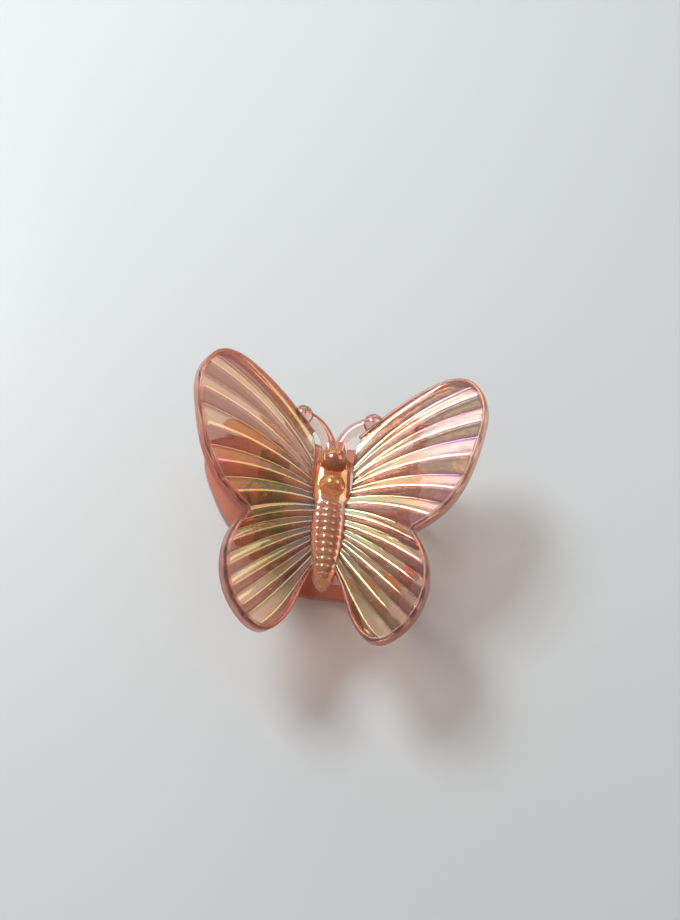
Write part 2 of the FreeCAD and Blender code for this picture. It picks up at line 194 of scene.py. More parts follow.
ROWS = 72                           # points along each fan line, from the body to the rim
EDGE_POINTS = 80                    # points along the two edges beside the body
PLEATS = 12                         # six on the forewing and six on the hindwing
NOTCH_PHASE = 6.0                   # the valley that runs to the notch between the two
# fan lines in the first half of a pleat: 0 is its valley and 0.5 its crest
PLEAT_STEPS = np.array([0.0, 0.035, 0.08, 0.15, 0.25, 0.35, 0.43, 0.47])
# how far each valley bows sideways, as a share of its length
FOREWING_BOWS = [0.03, 0.065, 0.065, 0.06, 0.055, 0.05, 0.045]
HINDWING_BOWS = [0.045, 0.04, 0.03, 0.02, 0.0, -0.02, -0.03]

ROOT_WIDTH, SPREAD = 0.9, 2.6       # a pleat's width beside the body, and what it gains by the rim
PLEAT_DEPTH = 0.20                  # as a share of that width
UNDERSIDE_SHARE = 0.35              # how much of the pleats shows on the underside
CREASE_WIDTH = 0.16                 # as a share of the pleat's height, for the painted shade in its valley
CREST_RISE, RIM_RISE = 0.10, 0.16   # how far pleat crests and rim stand above the wall's depth
ARCH = 0.15                         # how far the whole wing arches between body and tip
LEAD_LEVEL, LEAD_FALL = 0.45, 0.62  # the leading panel's fold: its start, and where it falls

# The rim's cross-section from the inner line, 0, to the outer one, 1: drops below the rim's top.
RIM_SECTION = [(0.04, 0.10), (0.14, 0.015), (0.30, 0.0), (0.55, 0.0), (0.74, 0.05), (0.88, 0.16),
               (0.97, 0.34), (1.0, 0.60)]
# The wall below it, down its outer face and up its inner one: heights above the wall's foot.
WALL_SECTION = [(1.0, 0.9), (0.985, 0.35), (0.94, 0.10), (0.82, 0.0), (0.55, 0.0), (0.40, 0.08),
                (0.31, 0.28), (0.24, 0.6)]
WALL_TOP, WALL_TOP_GAP = 0.9, 0.12
WALL_TOP_SHARE = 0.16


def outline_tracks():
    scale = np.array([HALF_SPAN, LENGTH])
    fore = Track(natural_spline(np.array(FOREWING_OUTLINE) * scale))
    hind = Track(natural_spline(np.array(HINDWING_OUTLINE) * scale))
    return fore, hind


def pleat_phases():
    """Column positions within one pleat, closer together at its crest and its valleys."""
    return np.concatenate([PLEAT_STEPS, 0.5 + (0.5 - PLEAT_STEPS[::-1])])[:-1]


def wing_columns():
    """For each fan line: its phase, its root, its end on the outline and its bow."""
    fore, hind = outline_tracks()
    wings = (
        (fore, [LEADING_START] + FOREWING_ENDS, [LEADING_ROOT] + FOREWING_ROOTS, FOREWING_BOWS),
        (hind, [0.0] + HINDWING_ENDS, [FOREWING_ROOTS[-1]] + HINDWING_ROOTS, HINDWING_BOWS),
    )
    half = PLEATS // 2
    columns = []
    for base, (track, ends, roots, bows) in zip((0, half), wings):
        for k in range(half):
            last = base + k == PLEATS - 1
            for q in list(pleat_phases()) + ([1.0] if last else []):
                columns.append((
                    base + k + q,
                    np.array(roots[k]) * (1 - q) + np.array(roots[k + 1]) * q,
                    track.at(ends[k] * (1 - q) + ends[k + 1] * q),
                    bows[k] * (1 - q) + bows[k + 1] * q,
                ))
    return fore, hind, columns


def inward_offset(points, width):
    """The curve moved by width to the right of its own direction, or to its left if width is below 0."""
    p = np.asarray(points, float)
    d = np.gradient(p, axis=0)
    d /= np.maximum(np.linalg.norm(d, axis=1, keepdims=True), 1e-9)
    return p + width * np.stack([d[:, 1], -d[:, 0]], axis=-1)


def drawn_to(line, end, t):
    """The line with its far end moved to end and its near end kept."""
    return line + np.outer(t ** 2, end - line[-1])


def fan_lines(t):
    """Each fan line's phase, its points up to the rim, and the rim's outer line.

    The outer line follows the border: the leading edge, round the ends of the fan lines, and back
    along the inner edge of the hindwing."""
    fore, hind, columns = wing_columns()
    phase = np.array([c[0] for c in columns])
    outer = np.array([c[2] for c in columns])
    inner = inward_offset(outer, RIM_WIDTH)
    # at the notch the set-in curve turns through the corner
    notch = int(np.argmin(np.abs(phase - NOTCH_PHASE)))
    inner[notch] = 0.5 * (inner[notch - 1] + inner[notch + 1])
    leading = Track(fore.at(np.linspace(LEADING_FOOT, LEADING_START, EDGE_POINTS)))
    trailing = Track(hind.at(np.linspace(INNER_EDGE_END, HINDWING_ENDS[-1], EDGE_POINTS)))
    first = Track(inward_offset(leading.p, RIM_WIDTH)).at(t)
    last = Track(inward_offset(trailing.p, -RIM_WIDTH)).at(t)
    grid = np.zeros((len(columns), ROWS, 2))
    for i, (ph, root, _, bow) in enumerate(columns):
        chord = inner[i] - root
        normal = np.array([-chord[1], chord[0]])
        line = root + np.outer(t, chord) + np.outer(4 * t * (1 - t) * bow, normal)
        # near the two edges the fan lines lie along them
        for edge, nearness in ((first, 1 - ph), (last, ph - (PLEATS - 1))):
            if nearness > 0:
                line = line * (1 - nearness) + drawn_to(edge, inner[i], t) * nearness
        grid[i] = line
    lead_outer = drawn_to(leading.at(t), outer[0], t)
    tail_outer = drawn_to(trailing.at(t), outer[-1], t)
    return phase, grid, np.concatenate([lead_outer, outer[1:], tail_outer[::-1][1:]])


def skin_profile(phase):
    """Pleat height at each fan line, 0 to 1. The leading panel is one broad smooth fold."""
    fold = LEAD_LEVEL + (1 - LEAD_LEVEL) * np.sin(np.pi * np.clip(phase, 0, 1) ** 0.8)
    fold = np.minimum(fold, 1.0) * (1 - ease((phase - LEAD_FALL) / (1 - LEAD_FALL)))
    return np.where(phase < 1, fold, pleat(phase))


def skin_facing(phase):
    """+1 on the flank that faces the head, -1 on the one that faces the tail, and from 0.6 down to -0.8
    across the leading panel. The wing's material paints light and shade by it.
    """
    facing = np.clip(np.gradient(pleat(phase), phase) / 2, -1, 1)
    return np.where(phase < 1, np.interp(phase, [0, 0.45, 1], [0.6, 0.2, -0.8]), facing)


class WingPoints:
    """Points with the four named values that the wing's material reads."""

    def __init__(self):
        self.points = []
        self.values = {"flank": [], "edge": [], "under": [], "crease": []}

    def add(self, points, **values):
        """Add points, whose values are 0 where none are given, and return the first one's number."""
        start = len(self.points)
        self.points.extend(points)
        for key, numbers in self.values.items():
            numbers.extend(np.broadcast_to(np.ravel(values.get(key, 0.0)), (len(points),)))
        return start


def build_wing(name, side):
    """A closed shell: the pleated skin's top and underside, joined by the rim and the wall below it."""
    # rows lie a little closer together halfway along
    t = np.linspace(0, 1, ROWS)
    t = t + 0.04 * np.sin(2 * math.pi * t) / (2 * math.pi)
    phase, grid, outer_line = fan_lines(t)
    n = len(phase)
    out, along = grid[..., 0], grid[..., 1]
    # pleats: deeper towards the rim, in proportion to their width
    reach = t[None, :]
    depth = PLEAT_DEPTH * (ROOT_WIDTH + SPREAD * reach) * np.ones_like(out)
    f = skin_profile(phase)[:, None]
    arch = ARCH * np.sin(np.pi * np.clip(out / HALF_SPAN, 0, 1) ** 0.8)
    top = WALL_DEPTH + CREST_RISE - depth * (1 - f) + arch
    under = SKIN_UNDERSIDE + arch - UNDERSIDE_SHARE * depth * (1 - f) * ease(reach * 1.2)
    # facing steers the painted light and shade on the flanks, crease the painted shade in the valleys
    facing = np.repeat(skin_facing(phase)[:, None], ROWS, axis=1)
    crease = np.exp(-(f / CREASE_WIDTH) ** 2) * (phase[:, None] > 0.5) * np.ones_like(out)

    made = WingPoints()
    base_top = made.add(world(side, out, along, top).reshape(-1, 3), flank=facing, crease=crease)
    base_under = made.add(world(side, out, along, under).reshape(-1, 3),
                          flank=facing, under=1.0, crease=crease)
    flip = side < 0
    faces = quads(n, ROWS, base_top, flip=flip) + quads(n, ROWS, base_under, flip=not flip)

    # the rim and the wall follow the border
    border = [(0, j) for j in range(ROWS)]
    border += [(i, ROWS - 1) for i in range(1, n)]
    border += [(n - 1, j) for j in range(ROWS - 2, -1, -1)]
    rows, cols = np.array(border).T
    inner_line, under_line = grid[rows, cols], under[rows, cols]
    rim_top = WALL_DEPTH + RIM_RISE + arch[rows, cols]
    section = [(share, rim_top - drop) for share, drop in RIM_SECTION]
    section += WALL_SECTION
    section += [(WALL_TOP_SHARE, np.minimum(WALL_TOP, under_line - WALL_TOP_GAP))]
    rings = [[base_top + i * ROWS + j for i, j in border]]
    for share, height in section:
        place = inner_line + (outer_line - inner_line) * share
        start = made.add(world(side, place[:, 0], place[:, 1], height), edge=1.0)
        rings.append(list(range(start, start + len(border))))
    rings.append([base_under + i * ROWS + j for i, j in border])
    for a, b in zip(rings, rings[1:]):
        for k in range(len(border) - 1):
            face = (a[k], a[k + 1], b[k + 1], b[k])
            faces.append(face if flip else face[::-1])
    # the root side, inside the body
    for k in range(n - 1):
        a, b = base_top + k * ROWS, base_under + k * ROWS
        face = (a, a + ROWS, b + ROWS, b)
        faces.append(face[::-1] if flip else face)
    first_end, last_end = tuple(r[0] for r in rings), tuple(r[-1] for r in rings)
    faces.append(first_end if flip else first_end[::-1])
    faces.append(last_end[::-1] if flip else last_end)
    return make_mesh(name, made.points, faces, values=made.values)


# ---------------------------------------------------------------- body and antennae

# half width and height of the plinth that carries the wings, and of the abdomen, along y
PLINTH_Y = [TAIL_Y, -10.3, -9.4, -7.8, -5.0, -1.5, 0.3, 2.3, 4.0, 5.8, 6.9, 7.5]
PLINTH_HALF = [0.03, 0.62, 1.15, 1.62, 1.98, 2.12, 2.02, 2.28, 2.15, 2.05, 1.35, 0.3]
PLINTH_TALL = [0.03, 0.45, 0.75, 0.95, 1.05, 1.10, 1.05, 1.05, 1.00, 0.90, 0.75, 0.2]
PLINTH_SQUARENESS = 2.4
ABDOMEN_Y = [-9.7, -9.4, -8.6, -7.0, -4.5, -1.5, 0.2, 0.9]
ABDOMEN_HALF = [0.02, 0.45, 0.85, 1.18, 1.36, 1.42, 1.35, 0.4]
ABDOMEN_TALL = [0.02, 0.75, 1.20, 1.55, 1.80, 1.92, 1.80, 0.6]
ABDOMEN_SQUARENESS = 2.3
ABDOMEN_RINGS = 11
RING_DEPTH = 0.20
# head and thorax: place along y, radius, and height of the ball's centre above the axis
BALLS = ((HEAD_Y, HEAD_R, 0.70), (THORAX_Y, THORAX_R, 0.95))
RIDGE_FILLET, BALL_FILLET = 0.12, 0.10
BODY_STEP, BODY_COLS = 0.045, 80    # distance between the body's rows, and points in each

# the antenna's curve in the wing's plane: where it leaves the head, its bend's radius and sweep, and
# the share of the sweep that goes on back into the head
ANTENNA_ROOT, ANTENNA_BEND = np.array([1.15, 6.6]), 4.3
ANTENNA_SWEEP, ANTENNA_BURIED = math.radians(85), 0.12
ANTENNA_STEPS = 40
# at these shares of its length: the stem's height above the wing's plane, and its radius
STEM_HEIGHTS = ([0, 0.3, 1], [1.9, 1.5, 1.35])
STEM_RADII = ([0, 0.25, 1], [0.98, 0.90, 0.70])
ANTENNA_BALL = 1.2


def oval(y, phi, table_y, half, tall, squareness):
    """Distance from the axis to an oval section whose half width and height change along y."""
    wide = np.interp(y, table_y, half, left=0.01, right=0.01)
    high = np.interp(y, table_y, tall, left=0.01, right=0.01)
    c, s = np.abs(np.cos(phi)) / wide, np.abs(np.sin(phi)) / high
    return (c ** squareness + s ** squareness) ** (-1 / squareness)


def ball_reach(y, phi, centre, ball, lift):
    """Distance from the axis to a ball whose centre is lifted above the axis."""
    b = lift * np.sin(phi)
    inside = b * b - (lift ** 2 + (y - centre) ** 2 - ball ** 2)
    return np.where(inside > 0, b + np.sqrt(np.maximum(inside, 0)), 0)


def soft_max(a, b, blend):
    """The larger of the two, with a small fillet where they cross."""
    near = np.clip(1 - np.abs(a - b) / blend, 0, 1)
    return np.maximum(a, b) + blend * near ** 2 / 4


def closed_rows(verts, rows, cols, first_tip, last_tip):
    """Faces of closed rows of points, and of the two fans that end them. Adds the tips to verts."""
    faces = quads(rows, cols, close_cols=True)
    first, last = len(verts), (rows - 1) * cols
    verts += [first_tip, last_tip]
    for k in range(cols):
        after = (k + 1) % cols
        faces.append((first, after, k))
        faces.append((first + 1, last + k, last + after))
    return faces


def build_body(name):
    y = np.arange(TAIL_Y, HEAD_Y + HEAD_R + 0.001, BODY_STEP)
    phi = np.linspace(0, 2 * math.pi, BODY_COLS, endpoint=False)
    yy, pp = np.meshgrid(y, phi, indexing="ij")
    radius = oval(yy, pp, PLINTH_Y, PLINTH_HALF, PLINTH_TALL, PLINTH_SQUARENESS)
    # the abdomen: a narrower ridge of rings, each a rounded roll between two sharp grooves
    first, last = ABDOMEN_Y[1], ABDOMEN_Y[-2]
    span = np.clip((yy - first) / (last - first), 0, 1)
    turn = ABDOMEN_RINGS * (0.88 * span + 0.12 * span ** 2)
    roll = np.abs(np.sin(math.pi * turn)) ** 0.6
    ridge = oval(yy, pp, ABDOMEN_Y, ABDOMEN_HALF, ABDOMEN_TALL, ABDOMEN_SQUARENESS)
    ridge = np.where(np.sin(pp) > -0.2, ridge - RING_DEPTH * (1 - roll), 0)
    radius = soft_max(radius, ridge, RIDGE_FILLET)
    for centre, ball, lift in BALLS:
        radius = soft_max(radius, ball_reach(yy, pp, centre, ball, lift), BALL_FILLET)
    pts = np.stack([radius * np.cos(pp), yy, BODY_Z + radius * np.sin(pp)], axis=-1)
    verts = list(pts.reshape(-1, 3))
    faces = closed_rows(verts, len(y), BODY_COLS, pts[0].mean(0), pts[-1].mean(0))
    return make_mesh(name, verts, faces)


def tube(centres, radii, segments=24):
    """Points and faces of a round tube along the centres."""
    c = np.asarray(centres, float)
    d = np.gradient(c, axis=0)
    d /= np.linalg.norm(d, axis=1, keepdims=True)
    side_v = np.cross(d[0], [0.0, 0.0, 1.0])
    side_v /= np.linalg.norm(side_v)
    a = np.linspace(0, 2 * math.pi, segments, endpoint=False)
    verts = []
    for k in range(len(c)):
        # carried along the line without twist
        side_v = side_v - d[k] * (side_v @ d[k])
        side_v /= np.linalg.norm(side_v)
        up_v = np.cross(side_v, d[k])
        verts.extend(c[k] + radii[k] * (np.outer(np.cos(a), side_v) + np.outer(np.sin(a), up_v)))
    return verts, closed_rows(verts, len(c), segments, c[0], c[-1])


def ball_mesh(centre, radius, rows=24, cols=32):
    verts = []
    for i in range(1, rows):
        a = math.pi * i / rows
        for j in range(cols):
            b = 2 * math.pi * j / cols
            verts.append((centre[0] + radius * math.sin(a) * math.cos(b),
                          centre[1] + radius * math.sin(a) * math.sin(b),
                          centre[2] + radius * math.cos(a)))
    pole = np.array([0, 0, radius])
    faces = closed_rows(verts, rows - 1, cols, centre + pole, centre - pole)
    return verts, [f[::-1] for f in faces]


def join(parts):
    verts, faces = [], []
    for v, f in parts:
        start = len(verts)
        verts.extend(v)
        faces.extend(tuple(start + k for k in face) for face in f)
    return verts, faces


def build_antenna(name, side):
    """A stem that starts inside the head, curves outwards over a quarter turn and ends in a ball."""
    centre = ANTENNA_ROOT + [ANTENNA_BEND, 0]
    a = math.pi - np.linspace(-ANTENNA_BURIED, 1, ANTENNA_STEPS) * ANTENNA_SWEEP
    line = centre + ANTENNA_BEND * np.stack([np.cos(a), np.sin(a)], axis=-1)
    share = np.linspace(0, 1, ANTENNA_STEPS)
    pts = world(side, line[:, 0], line[:, 1], np.interp(share, *STEM_HEIGHTS))
    stem = tube(pts, np.interp(share, *STEM_RADII))
    return make_mesh(name, *join([stem, ball_mesh(pts[-1], ANTENNA_BALL)]))


# ---------------------------------------------------------------- spring

# The spring lies round the middle of the hinge pin. hand: -1 for its rear coil, 1 for its front one.
HINGE = np.array([-7.0, -0.2, 9.6])
WIRE, COIL_R, COIL_PITCH, COIL_TURNS, COIL_GAP = 0.23, 1.45, 0.6, 4.5, 0.7
COIL_START, COIL_END = math.radians(47), math.radians(262)
COIL_STEPS, BRIDGE_STEPS, LEG_STEPS = 170, 14, 24
LEG, LEG_SLOPE = 4.1, math.radians(8.5)
# the bridge between the coils: its tip under the wing, and its shoulders
BRIDGE_TIP_X, SHOULDER_X, SHOULDER_DROP, SHOULDER_HALF = -10.3, -9.5, 0.75, 1.1
BRIDGE_CLEARANCE = 0.1
TIP_BEND = np.array([0.25, 0.28, -0.22])


def skin_under_z(x):
    return ROOT_Z + abs(x) * math.tan(DIHEDRAL) + SKIN_UNDERSIDE / math.cos(DIHEDRAL)


def on_coil(angle, y):
    """A point of the coil: angle turns from +x towards +z."""
    return HINGE + [COIL_R * math.cos(angle), y, COIL_R * math.sin(angle)]


def half_coil(hand):
    """From the bridge's shoulder through one coil to where its outer leg leaves."""
    turns = np.linspace(0, 1, COIL_STEPS)
    sweep = -(2 * math.pi * COIL_TURNS + (COIL_START - COIL_END) % (2 * math.pi))
    y = COIL_GAP / 2 + WIRE + turns * (COIL_PITCH * COIL_TURNS - 2 * WIRE)
    return [on_coil(COIL_START + sweep * k, hand * yy) for k, yy in zip(turns, y)]


def spring_path():
    """The rear coil, the bridge and the front coil, as one line."""
    tip = np.array([BRIDGE_TIP_X, HINGE[1], skin_under_z(BRIDGE_TIP_X) - WIRE - BRIDGE_CLEARANCE])
    shoulder = np.array([SHOULDER_X, HINGE[1], tip[2] - SHOULDER_DROP])
    rear, front = half_coil(-1)[::-1], half_coil(1)
    across = np.array([1, -1, 1])
    bridge = [shoulder - [0, SHOULDER_HALF, 0], tip + TIP_BEND * across, tip, tip + TIP_BEND,
              shoulder + [0, SHOULDER_HALF, 0]]
    smooth = natural_spline([rear[-1]] + bridge + [front[0]], BRIDGE_STEPS)[1:-1]
    return rear + list(smooth) + front


def outer_leg(hand):
    """The straight end of the wire, from the coil along the thumb tab."""
    start = half_coil(hand)[-1]
    along = np.array([-math.cos(LEG_SLOPE), 0, math.sin(LEG_SLOPE)])
    return [start + along * LEG * k for k in np.linspace(0, 1, LEG_STEPS)]


def wire_mesh(name, points):
    return make_mesh(name, *tube(points, np.full(len(points), WIRE), segments=14))


# ---------------------------------------------------------------- materials

RESIN_IOR = 1.5
DEEP_COLOUR = (0.93, 0.44, 0.0)     # what the resin lets through
STAIN_COLOUR = (0.80, 0.36, 0.16)
COAT_IOR, COAT_ROUGHNESS = 1.6, 0.06
UNDER_ROUGHER, EDGE_ROUGHER = 0.06, 0.20


def node(tree, kind, **settings):
    made = tree.nodes.new("ShaderNode" + kind)
    for key, value in settings.items():
        if hasattr(made, key):
            setattr(made, key, value)
        else:
            made.inputs[key.replace("_", " ")].default_value = value
    return made


def mapped(tree, source, low, high, to_low, to_high):
    """source carried from low..high to to_low..to_high."""
    made = node(tree, "MapRange")
    for name, value in (("From Min", low), ("From Max", high), ("To Min", to_low), ("To Max", to_high)):
        made.inputs[name].default_value = value
    tree.links.new(source, made.inputs["Value"])
    return made.outputs["Result"]


def combined(tree, a, b, operation="ADD"):
    """Two numbers, each a socket or a plain value, put together by the operation."""
    made = node(tree, "Math", operation=operation)
    for socket, value in zip(made.inputs, (a, b)):
        if isinstance(value, (int, float)):
            socket.default_value = value
        else:
            tree.links.new(value, socket)
    return made.outputs[0]


def mixed_colour(tree, share, a, b):
    """Colour a where share is 0 and b where it is 1."""
    made = node(tree, "Mix", data_type="RGBA", blend_type="MIX")
    for socket, value in zip((made.inputs[0], made.inputs[6], made.inputs[7]), (share, a, b)):
        if isinstance(value, tuple):
            socket.default_value = (*value[:3], 1)
        elif isinstance(value, (int, float)):
            socket.default_value = value
        else:
            tree.links.new(value, socket)
    return made.outputs[2]


def noise(tree, coords, scale, detail, roughness=0.5):
    made = node(tree, "TexNoise", Scale=scale, Detail=detail, Roughness=roughness)
    tree.links.new(coords, made.inputs["Vector"])
    return made.outputs["Fac"]


def two_tone(tree, source, first, second):
    """A colour ramp. first and second: each a place on the ramp and a colour."""
    ramp = node(tree, "ValToRGB")
    for element, (place, colour) in zip(ramp.color_ramp.elements, (first, second)):
        element.position = place
        element.color = (*colour, 1)
    tree.links.new(source, ramp.inputs["Fac"])
    return ramp.outputs["Color"]


def bumped(tree, bsdf, height, strength, distance):
    bump = node(tree, "Bump", Strength=strength, Distance=distance)
    tree.links.new(height, bump.inputs["Height"])
    tree.links.new(bump.outputs[0], bsdf.inputs["Normal"])


def named_value(tree, name):
    return node(tree, "Attribute", attribute_name=name).outputs["Fac"]


def painted_flank_shading(tree, colour, flanks, away, along, edge):
    """Painted light and shade on a pleated wing: a painted highlight colour on the flanks that face the
    head, painted shade on the other flanks and in the creases, and the rim's own colour. The painted
    shade on the flanks changes colour only towards the forewing tip."""
    light, shaded_root_colour, shaded_tip_colour, crease_shade_colour, edge_colour = flanks
    forewing = mapped(tree, along, -0.002, 0.005, 0, 1)
    tip = combined(tree, mapped(tree, away, 0.006, 0.014, 0, 1), forewing, "MULTIPLY")
    # painted shade for the flanks that face the tail
    dark = mixed_colour(tree, tip, shaded_root_colour, shaded_tip_colour)
    # painted highlight for the flanks that face the head
    pale = mixed_colour(tree, 0.3, light, colour)
    colour = mixed_colour(tree, mapped(tree, named_value(tree, "flank"), -0.5, 0.5, 0, 1), dark, pale)
    # painted shade in the creases
    valley = combined(tree, named_value(tree, "crease"), 0.7, "MULTIPLY")
    return mixed_colour(tree, edge, mixed_colour(tree, valley, colour, crease_shade_colour), edge_colour)


def plastic(name, tint, film=None, film_ior=1.9, film_along="X", rough=0.05, clear=1.0,
            clear_tint=(0.55, 0.53, 0.52), density=360, coat=0.0, flanks=None, far=None):
    """Clear tinted resin, with an iridescent film where film is given.

    film: its thickness in nanometres at the two ends of a stretch, how far it wanders, and the
    stretch, in metres away from the body's axis or along film_along. clear: how much light passes.
    clear_tint: the colour of that light in shadows. flanks: a pleated wing's painted light and shade
    and its rim's colour. The wing's film and coat lie on its top face only. far: the tint and
    clearness towards the jaw's tines."""
    mat = bpy.data.materials.new(name)
    mat.use_nodes = True
    nt = mat.node_tree
    nt.nodes.clear()
    out = node(nt, "OutputMaterial")
    bsdf = node(nt, "BsdfPrincipled", IOR=RESIN_IOR, Transmission_Weight=clear, Coat_Weight=coat,
                Coat_IOR=COAT_IOR, Coat_Roughness=COAT_ROUGHNESS, Thin_Film_IOR=film_ior)
    coords = node(nt, "TexCoord").outputs["Object"]
    clouds, grain = noise(nt, coords, 110.0, 2.0), noise(nt, coords, 900.0, 3.0)
    apart = node(nt, "SeparateXYZ")
    nt.links.new(coords, apart.inputs[0])
    away = combined(nt, apart.outputs["X"], 0.0, "ABSOLUTE")
    if flanks:
        edge, under = named_value(nt, "edge"), named_value(nt, "under")
        top_face = combined(nt, 1.0, combined(nt, edge, under, "MAXIMUM"), "SUBTRACT")
        nt.links.new(combined(nt, top_face, coat, "MULTIPLY"), bsdf.inputs["Coat Weight"])
    if film:
        start, end, wander, stretch = film
        place = away if film_along == "X" else apart.outputs[film_along]
        thickness = combined(nt, mapped(nt, place, *stretch, start, end),
                             mapped(nt, clouds, 0.3, 0.7, -wander, wander))
        if flanks:
            thickness = combined(nt, thickness, top_face, "MULTIPLY")
        nt.links.new(thickness, bsdf.inputs["Thin Film Thickness"])
    # resin colour: faint cloudy streaks of more and less dye
    colour = two_tone(nt, clouds, (0.32, [c ** 1.6 for c in tint]), (0.62, tint))
    if far:
        far_tint, far_clear = far
        x = apart.outputs["X"]
        nt.links.new(mapped(nt, x, *TAB_TO_TINES, clear, far_clear), bsdf.inputs["Transmission Weight"])
        colour = mixed_colour(nt, mapped(nt, x, *TAB_TO_TINES, 0, 1), colour, far_tint)
    # painted light and shade on the pleated wing's flanks and creases
    if flanks:
        colour = painted_flank_shading(nt, colour, flanks, away, apart.outputs["Y"], edge)
    # dye stains and specks
    stain = mapped(nt, noise(nt, coords, 240.0, 4.0, 0.65), 0.60, 0.72, 0.0, 0.75)
    nt.links.new(mixed_colour(nt, stain, colour, STAIN_COLOUR), bsdf.inputs["Base Color"])
    roughness = mapped(nt, grain, 0.3, 0.7, rough * 0.7, rough * 1.4)
    if flanks:
        roughness = combined(nt, roughness, combined(nt, under, UNDER_ROUGHER, "MULTIPLY"))
        roughness = combined(nt, roughness, combined(nt, edge, EDGE_ROUGHER, "MULTIPLY"))
    nt.links.new(roughness, bsdf.inputs["Roughness"])
    bumped(nt, bsdf, grain, 0.05, 0.0001)
    # light passes straight through to the floor, so the shadow is pale
    see_through = node(nt, "BsdfTransparent", Color=(*clear_tint, 1))
    mix = node(nt, "MixShader")
    nt.links.new(node(nt, "LightPath").outputs["Is Shadow Ray"], mix.inputs["Fac"])
    nt.links.new(bsdf.outputs[0], mix.inputs[1])
    nt.links.new(see_through.outputs[0], mix.inputs[2])
    nt.links.new(mix.outputs[0], out.inputs["Surface"])
    volume = node(nt, "VolumeAbsorption", Color=(*DEEP_COLOUR, 1), Density=float(density))
    nt.links.new(volume.outputs[0], out.inputs["Volume"])
    return mat


def metal(name, colour, rough):
    """Drawn wire: the colour and the gloss change in fine spots and streaks."""
    mat = bpy.data.materials.new(name)
    mat.use_nodes = True
    nt = mat.node_tree
    bsdf = nt.nodes["Principled BSDF"]
    bsdf.inputs["Metallic"].default_value = 1.0
    coords = node(nt, "TexCoord").outputs["Object"]
    spots, marks = noise(nt, coords, 700.0, 3.0), noise(nt, coords, 2600.0, 2.0)
    worn = tuple(0.62 * c for c in colour)
    nt.links.new(mixed_colour(nt, mapped(nt, spots, 0.35, 0.65, 0, 1), worn, colour),
                 bsdf.inputs["Base Color"])
    nt.links.new(mapped(nt, marks, 0.3, 0.7, 0.75 * rough, 1.3 * rough), bsdf.inputs["Roughness"])
    bumped(nt, bsdf, marks, 0.12, 0.00002)
    return mat


def paint(obj, mat):
    obj.data.materials.clear()
    obj.data.materials.append(mat)


# ---------------------------------------------------------------- scene

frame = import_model()
nodes = frame["nodes"]

# Stretches, in metres, over which the film's thickness changes: outwards along the wings, and along
# the body from the abdomen to the head.
WING_STRETCH, BODY_STRETCH = (0.003, 0.0135), (0.0005, 0.0045)
TAB_TO_TINES = (-0.001, 0.009)      # metres along x, over which the comb jaw's tint changes

# flanks: painted highlight on the head-facing flanks, painted shade on the other flanks at the root and
# at the forewing tip, painted shade in the crease, and the rim's own colour
# The two wings are one resin in a lit copy and a shaded copy: the right wing's is paler and glossier,
# with a thicker coat, as painted highlight, and the left wing's is more salmon and duller as painted
# shade, for how the light falls on each wing.
lit_right_wing_mat = plastic(
    "right_wing_lit_look", (0.90, 0.70, 0.68), (224, 286, 12, WING_STRETCH), film_ior=1.92, coat=0.9,
    flanks=((0.96, 0.84, 0.78), (0.27, 0.125, 0.14), (0.36, 0.30, 0.22), (0.15, 0.055, 0.07),
            (0.66, 0.38, 0.35)))
shaded_left_wing_mat = plastic(
    "left_wing_shaded_look", (0.88, 0.60, 0.52), (222, 270, 14, WING_STRETCH), film_ior=1.86, coat=0.25,
    flanks=((0.92, 0.68, 0.56), (0.52, 0.25, 0.22), (0.60, 0.34, 0.29), (0.28, 0.10, 0.09),
            (0.74, 0.34, 0.28)))
body_mat = plastic("body_plastic_look", (0.82, 0.50, 0.33), (225, 282, 12, BODY_STRETCH),
                   film_ior=1.85, film_along="Y", rough=0.10, clear=0.78, density=170)
antenna_mat = plastic("antenna_plastic_look", (1.0, 0.88, 0.84), (290, 290, 10, WING_STRETCH),
                      film_ior=1.8, density=50)
jaw_mat = plastic("jaw_plastic_look", (0.84, 0.50, 0.42), clear=0.85, density=240,
                  clear_tint=(0.60, 0.54, 0.52), far=((0.68, 0.09, 0.004), 0.10))
steel_mat = metal("steel_look", (0.27, 0.29, 0.07), 0.36)


def place_piece(obj, body, replaced, mat):
    """Ride obj on its body, let it stand for a CAD node, and give it its slot and look."""
    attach(obj, body)
    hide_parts(replaced)
    paint(obj, mat)


def softened(name, source, body, width, mat):
    """A copy of a CAD node with rounded edges, which stands for it."""
    mesh = nodes[source].data.copy()
    obj = bpy.data.objects.new(name, mesh)
    bpy.context.scene.collection.objects.link(obj)
    work = bmesh.new()
    work.from_mesh(mesh)
    bmesh.ops.remove_doubles(work, verts=work.verts, dist=2e-6)
    bmesh.ops.dissolve_limit(work, angle_limit=math.radians(1.0), verts=work.verts, edges=work.edges)
    work.to_mesh(mesh)
    work.free()
    bevel = obj.modifiers.new("edge", "BEVEL")
    bevel.width = width * MM
    bevel.segments = 3
    bevel.limit_method = "ANGLE"
    bevel.angle_limit = math.radians(35)
    bevel.use_clamp_overlap = True
    mesh.polygons.foreach_set("use_smooth", [True] * len(mesh.polygons))
    place_piece(obj, body, source, mat)


for word, side, wing_mat in (("left", -1, shaded_left_wing_mat), ("right", 1, lit_right_wing_mat)):
    place_piece(build_wing(word + "_wing_pleated", side), "butterfly",
                word + "_wing", wing_mat)
    place_piece(build_antenna(word + "_antenna_drop", side), "butterfly",
                word + "_antenna", antenna_mat)
place_piece(build_body("ringed_body"), "butterfly", "butterfly_body", body_mat)

coil = wire_mesh("spring_coils", spring_path())
place_piece(coil, "butterfly", "torsion_spring", steel_mat)
